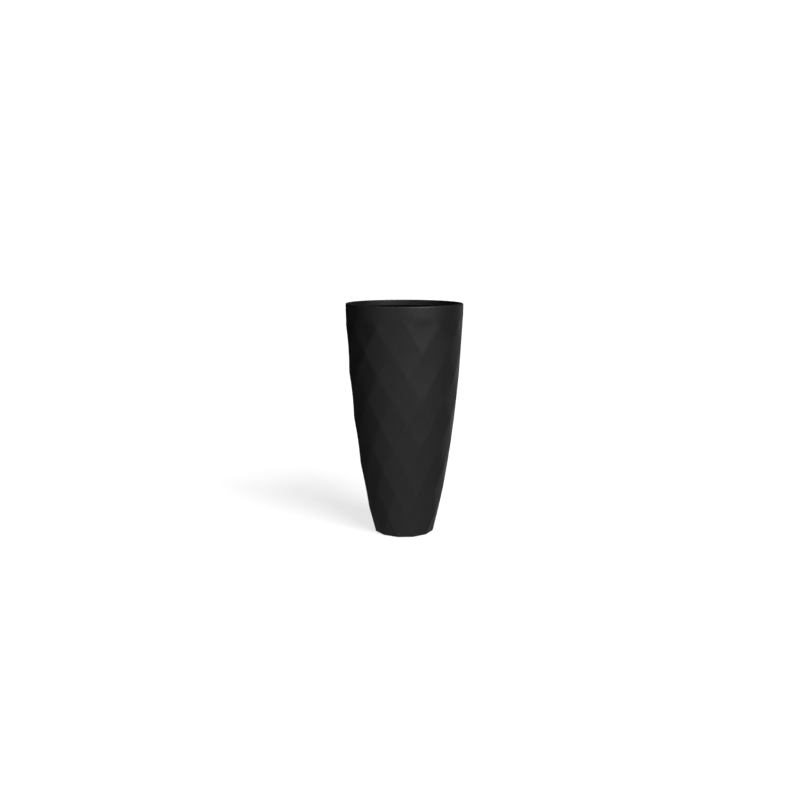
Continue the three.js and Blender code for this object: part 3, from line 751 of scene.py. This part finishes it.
def clear():
    m = Nodes("clear_plastic")
    m.set("Base Color", (0.93, 0.96, 0.96, 1))
    m.set("Transmission Weight", 1.0)
    m.set("IOR", 1.49)
    m.set("Roughness", m.maprange(m.noise(60.0, 3.0), 0.03, 0.10, 0.3, 0.7))
    m.set("Normal", m.bump(m.noise(90.0, 2.0), 0.15, 0.0001))
    return m.mat


def red():
    m = Nodes("red_marker")
    m.set("Base Color", m.ramp(m.noise(30.0, 3.0), [(0.3, (0.42, 0.022, 0.015)), (0.7, (0.52, 0.034, 0.020))]))
    m.set("Roughness", m.maprange(m.noise(80.0, 2.0), 0.24, 0.36, 0.3, 0.7))
    m.set("Normal", m.bump(m.noise(500.0, 2.0), 0.2, 0.00006))
    return m.mat


MATS["pin_steel"], MATS["clear_plastic"], MATS["red_plastic"] = steel(), clear(), red()
for ob, slot_name in FITTINGS.values():
    use(ob, MATS[slot_name])

# ---------------------------------------------------------------- floor, backdrop and light
def stage_mesh(ob, emission, base):
    """A white studio surface. It is seen, and catches shadows, but doesn't tint the planter."""
    m = bpy.data.materials.new(ob.name + "_white")
    m.use_nodes = True
    b = m.node_tree.nodes["Principled BSDF"]
    b.inputs["Base Color"].default_value = (base, base, base, 1)
    b.inputs["Roughness"].default_value = 1.0
    b.inputs["Specular IOR Level"].default_value = 0.0
    b.inputs["Emission Color"].default_value = (1, 1, 1, 1)
    b.inputs["Emission Strength"].default_value = emission
    ob.data.materials.append(m)
    ob.visible_glossy = ob.visible_diffuse = ob.visible_shadow = False


def stage_floor():
    s = 30.0
    me = bpy.data.meshes.new("floor")
    me.from_pydata([(-s, -s, 0), (s, -s, 0), (s, s, 0), (-s, s, 0)], [], [(0, 1, 2, 3)])
    ob = bpy.data.objects.new("floor", me)
    bpy.context.scene.collection.objects.link(ob)
    stage_mesh(ob, FLOOR_GLOW, 0.36)


def stage_dome():
    bm = bmesh.new()
    bmesh.ops.create_uvsphere(bm, u_segments=48, v_segments=24, radius=45)
    me = bpy.data.meshes.new("backdrop")
    bm.to_mesh(me)
    bm.free()
    ob = bpy.data.objects.new("backdrop", me)
    bpy.context.scene.collection.objects.link(ob)
    stage_mesh(ob, 1.1, 0.0)


def sun(name, azimuth, elevation, strength, softness):
    l = bpy.data.lights.new(name, "SUN")
    l.energy, l.angle = strength, math.radians(softness)
    ob = bpy.data.objects.new(name, l)
    bpy.context.scene.collection.objects.link(ob)
    a, e = math.radians(azimuth), math.radians(elevation)
    to_light = Vector((math.sin(a) * math.cos(e), -math.cos(a) * math.cos(e), math.sin(e)))
    ob.rotation_mode = "QUATERNION"
    ob.rotation_quaternion = (-to_light).to_track_quat("-Z", "Y")


# Soft surround: a white floor in front, a dim room above it, dark at the left back and a rim light at the right back.
# Brightness by compass direction in degrees, 0 at the front and + towards the right.
SURROUND = [(-180, 0.0), (-88, 0.0), (-46, 1.0), (40, 0.85), (90, 0.28), (122, 0.20), (148, 0.95), (175, 0.0)]
# and by height, from straight down to straight up
SURROUND_TALL = [(0.0, 0.80), (0.35, 1.0), (0.47, 1.0), (0.53, 0.30), (1.0, 0.24)]
# Steeply below, the pale floor is seen in every direction, at least this bright by height.
FLOOR_SEEN = [(0.0, 0.42), (0.20, 0.40), (0.35, 0.0)]
SURROUND_LEVEL = 0.70
FLOOR_GLOW = 0.72


def surround():
    world = bpy.data.worlds.new("studio")
    bpy.context.scene.world = world
    world.use_nodes = True
    t = world.node_tree
    back = t.nodes["Background"]
    sep = t.nodes.new("ShaderNodeSeparateXYZ")
    t.links.new(t.nodes.new("ShaderNodeTexCoord").outputs["Generated"], sep.inputs[0])

    def math_node(op, a, b=None):
        n = t.nodes.new("ShaderNodeMath")
        n.operation = op
        for i, v in enumerate((a, b)):
            if v is None:
                continue
            if hasattr(v, "links"):
                t.links.new(v, n.inputs[i])
            else:
                n.inputs[i].default_value = v
        return n.outputs[0]

    def grey_ramp(fac, stops):
        r = t.nodes.new("ShaderNodeValToRGB")
        els = r.color_ramp.elements
        while len(els) < len(stops):
            els.new(0.5)
        for e, (pos, v) in zip(els, stops):
            e.position = pos
            e.color = (v, v, v, 1)
        t.links.new(fac, r.inputs["Fac"])
        return r.outputs["Color"]

    def mix_node(kind, fac, a, b):
        n = t.nodes.new("ShaderNodeMix")
        n.data_type, n.blend_type = "RGBA", kind
        for sock, v in ((n.inputs[0], fac), (n.inputs[6], a), (n.inputs[7], b)):
            if hasattr(v, "links"):
                t.links.new(v, sock)
            else:
                sock.default_value = v
        return n.outputs[2]

    az = math_node("ARCTAN2", sep.outputs["X"], math_node("MULTIPLY", sep.outputs["Y"], -1.0))
    turn = math_node("ADD", math_node("DIVIDE", az, 2 * math.pi), 0.5)
    high = math_node("ADD", math_node("MULTIPLY", sep.outputs["Z"], 0.5), 0.5)
    around = grey_ramp(turn, [(deg / 360 + 0.5, v) for deg, v in SURROUND])
    room = mix_node("MULTIPLY", 1.0, around, grey_ramp(high, SURROUND_TALL))
    t.links.new(mix_node("LIGHTEN", 1.0, room, grey_ramp(high, FLOOR_SEEN)), back.inputs["Color"])
    back.inputs["Strength"].default_value = SURROUND_LEVEL


stage_floor()
stage_dome()
surround()
sun("key_right_front", 35, 37, 4.3, 38)
sun("fill_left_front", -42, 33, 0.60, 38)

bpy.context.scene.view_settings.view_transform = "Standard"
